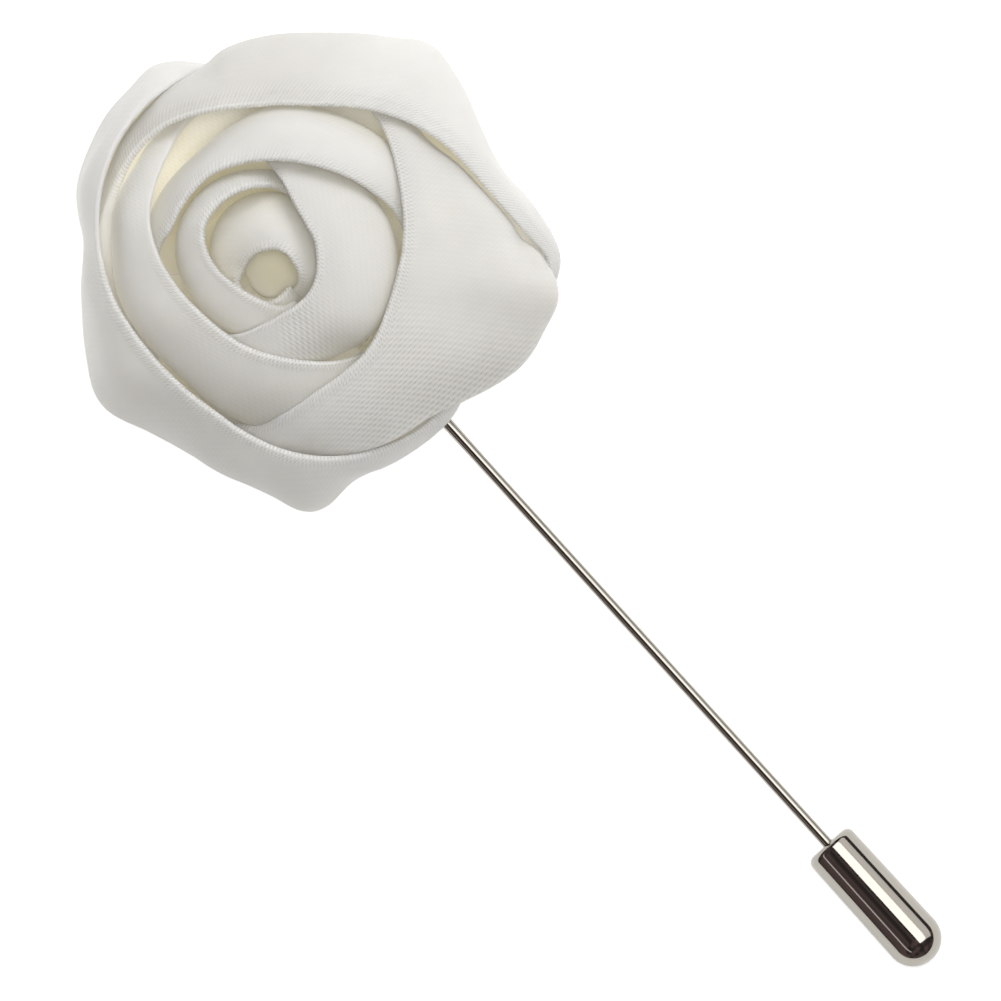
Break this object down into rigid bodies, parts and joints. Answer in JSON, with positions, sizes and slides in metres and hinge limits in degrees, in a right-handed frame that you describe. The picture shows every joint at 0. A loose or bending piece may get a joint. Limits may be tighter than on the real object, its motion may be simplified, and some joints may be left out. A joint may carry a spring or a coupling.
{
  "type": "flower lapel pin",
  "caption": "Satin ribbon rose on a felt-backed straight stick pin with a bullet cap over its point, worn on a lapel.",
  "frame": {"origin": "on the underside of the felt disc, straight below the needle's own line at the middle of its pad; the disc's centre is 2.5 mm from it in -X and in -Y", "axes": "+X along the needle from the flower to the point, +Z out of the face of the flower, as it lies on a table"},
  "size_m": [0.1063, 0.0434, 0.0184],
  "materials": {
    "satin": "ivory white polyester satin with a soft sheen and a fine woven rib along its folded edges",
    "felt": "matt off-white wool felt",
    "needle": "bright nickel-plated steel wire",
    "cap": "polished nickel plate"
  },
  "bodies": {
    "flower": {"heart_roll": "satin", "bud_left_petal": "satin", "bud_right_petal": "satin", "inner_top_petal": "satin", "inner_left_petal": "satin", "right_petal": "satin", "top_petal": "satin", "outer_petal": "satin", "ribbon_base": "satin", "felt_disc": "felt", "pin_stick": "needle"},
    "cap": {"pin_cap": "cap"}
  },
  "joints": [
    {"name": "cap_slide", "type": "slide", "parent": "flower", "child": "cap", "axis": [1, 0, 0], "range_m": [0, 0.012]}
  ]
}
